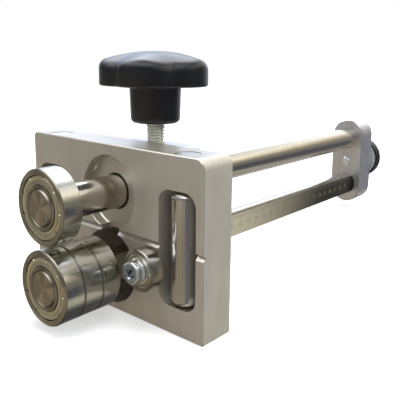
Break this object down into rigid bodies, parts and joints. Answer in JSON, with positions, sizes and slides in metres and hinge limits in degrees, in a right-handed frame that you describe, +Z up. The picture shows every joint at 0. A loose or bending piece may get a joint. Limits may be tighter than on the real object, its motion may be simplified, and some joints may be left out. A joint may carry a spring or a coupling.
{
  "type": "sheet metal edge bender",
  "caption": "Hand edge bender: ball bearings on parallel rods roll a flange up along a sheet's edge, with a sliding roller fence clamped by a star knob.",
  "frame": {"origin": "centre of the fence block's underside", "axes": "+Y from the bearings to the rear plate along the rods, +Z up through the clamp knob, +X towards the ruler flat and the guide bearing"},
  "size_m": [0.148, 0.3885, 0.1536],
  "materials": {
    "block_aluminium": "bead-blasted, clear anodised",
    "guide_aluminium": "bead-blasted, clear anodised",
    "plate_aluminium": "fine turned and blasted",
    "cap_aluminium": "satin",
    "roller_steel": "ground and polished",
    "rod_chrome": "hard chromed and polished",
    "ring_steel": "ground bearing steel",
    "shield_steel": "pressed, straw coloured",
    "ball_steel": "polished",
    "cage_steel": "pressed",
    "pin_steel": "ground",
    "black_steel": "black oxide",
    "zinc_steel": "bright zinc plated",
    "bush_bronze": "sintered",
    "pad_brass": "turned",
    "knob_plastic": "glossy moulded",
    "buffer_rubber": "smooth moulded"
  },
  "bodies": {
    "rod_frame": {"upper_rod": "rod_chrome", "lower_rod": "rod_chrome", "rear_plate": "plate_aluminium", "rod_grub_screws": "black_steel", "bearing_shims": "pin_steel", "buffer_stud": "zinc_steel", "buffer_nut": "zinc_steel", "buffer_disc": "zinc_steel", "rear_buffer": "buffer_rubber", "upper_bearing_inner": "ring_steel", "front_bearing_inner": "ring_steel", "middle_bearing_inner": "ring_steel", "rear_bearing_inner": "ring_steel"},
    "fence": {"fence_block": "block_aluminium", "guide_block": "guide_aluminium", "guide_block_screws": "black_steel", "upper_rod_bush": "bush_bronze", "lower_rod_bush": "bush_bronze", "right_roller_axle": "pin_steel", "left_roller_axle": "pin_steel", "right_axle_cap": "cap_aluminium", "left_axle_cap": "cap_aluminium", "guide_screw": "zinc_steel", "guide_spring_washer": "zinc_steel", "guide_washer": "zinc_steel", "guide_spacer": "pin_steel", "guide_bearing_inner": "ring_steel"},
    "right_fence_roller": {"right_roller": "roller_steel"},
    "left_fence_roller": {"left_roller": "roller_steel"},
    "pad": {"clamp_pad": "pad_brass"},
    "knob": {"clamp_stud": "zinc_steel", "star_knob": "knob_plastic"},
    "upper_outer_ring": {"upper_bearing_outer": "ring_steel", "upper_bearing_shields": "shield_steel"},
    "upper_ball_set": {"upper_bearing_balls": "ball_steel", "upper_bearing_cage": "cage_steel"},
    "front_outer_ring": {"front_bearing_outer": "ring_steel", "front_bearing_shields": "shield_steel"},
    "front_ball_set": {"front_bearing_balls": "ball_steel", "front_bearing_cage": "cage_steel"},
    "middle_outer_ring": {"middle_bearing_outer": "ring_steel", "middle_bearing_shields": "shield_steel"},
    "middle_ball_set": {"middle_bearing_balls": "ball_steel", "middle_bearing_cage": "cage_steel"},
    "rear_outer_ring": {"rear_bearing_outer": "ring_steel", "rear_bearing_shields": "shield_steel"},
    "rear_ball_set": {"rear_bearing_balls": "ball_steel", "rear_bearing_cage": "cage_steel"},
    "guide_outer_ring": {"guide_bearing_outer": "ring_steel", "guide_bearing_shields": "shield_steel"},
    "guide_ball_set": {"guide_bearing_balls": "ball_steel", "guide_bearing_cage": "cage_steel"}
  },
  "joints": [
    {"name": "fence_slide", "type": "slide", "parent": "rod_frame", "child": "fence", "axis": [0, 1, 0], "range_m": [-0.0395, 0.25]},
    {"name": "right_roller_spin", "type": "hinge", "parent": "fence", "child": "right_fence_roller", "pos_m": [0.055, -0.0035, 0.0485], "axis": [0, 0, 1], "continuous": true},
    {"name": "left_roller_spin", "type": "hinge", "parent": "fence", "child": "left_fence_roller", "pos_m": [-0.055, -0.0035, 0.0485], "axis": [0, 0, 1], "continuous": true},
    {"name": "upper_bearing_spin", "type": "hinge", "parent": "rod_frame", "child": "upper_outer_ring", "pos_m": [0, -0.0515, 0.071], "axis": [0, 1, 0], "continuous": true},
    {"name": "upper_balls_spin", "type": "hinge", "parent": "rod_frame", "child": "upper_ball_set", "pos_m": [0, -0.0515, 0.071], "axis": [0, 1, 0], "continuous": true},
    {"name": "front_bearing_spin", "type": "hinge", "parent": "rod_frame", "child": "front_outer_ring", "pos_m": [0, -0.0515, 0.026], "axis": [0, 1, 0], "continuous": true},
    {"name": "front_balls_spin", "type": "hinge", "parent": "rod_frame", "child": "front_ball_set", "pos_m": [0, -0.0515, 0.026], "axis": [0, 1, 0], "continuous": true},
    {"name": "middle_bearing_spin", "type": "hinge", "parent": "rod_frame", "child": "middle_outer_ring", "pos_m": [0, -0.0392, 0.026], "axis": [0, 1, 0], "continuous": true},
    {"name": "middle_balls_spin", "type": "hinge", "parent": "rod_frame", "child": "middle_ball_set", "pos_m": [0, -0.0392, 0.026], "axis": [0, 1, 0], "continuous": true},
    {"name": "rear_bearing_spin", "type": "hinge", "parent": "rod_frame", "child": "rear_outer_ring", "pos_m": [0, -0.0269, 0.026], "axis": [0, 1, 0], "continuous": true},
    {"name": "rear_balls_spin", "type": "hinge", "parent": "rod_frame", "child": "rear_ball_set", "pos_m": [0, -0.0269, 0.026], "axis": [0, 1, 0], "continuous": true},
    {"name": "guide_bearing_spin", "type": "hinge", "parent": "fence", "child": "guide_outer_ring", "pos_m": [0.035, -0.017, 0.0348], "axis": [0, 1, 0], "continuous": true},
    {"name": "guide_balls_spin", "type": "hinge", "parent": "fence", "child": "guide_ball_set", "pos_m": [0.035, -0.017, 0.0348], "axis": [0, 1, 0], "continuous": true},
    {"name": "pad_lift", "type": "slide", "parent": "fence", "child": "pad", "axis": [0, 0, 1], "range_m": [0, 0.00524]},
    {"name": "knob_turn", "type": "hinge", "parent": "pad", "child": "knob", "pos_m": [0, 0.0278, 0.1], "axis": [0, 0, 1], "range_deg": [0, 1080]}
  ],
  "couplings": [
    {"joint": "upper_balls_spin", "follows": "upper_bearing_spin", "ratio": 0.6024},
    {"joint": "front_balls_spin", "follows": "front_bearing_spin", "ratio": 0.6024},
    {"joint": "middle_balls_spin", "follows": "middle_bearing_spin", "ratio": 0.6024},
    {"joint": "rear_balls_spin", "follows": "rear_bearing_spin", "ratio": 0.6024},
    {"joint": "guide_balls_spin", "follows": "guide_bearing_spin", "ratio": 0.6241},
    {"joint": "knob_turn", "follows": "pad_lift", "rad_per_m": 3590.4}
  ]
}
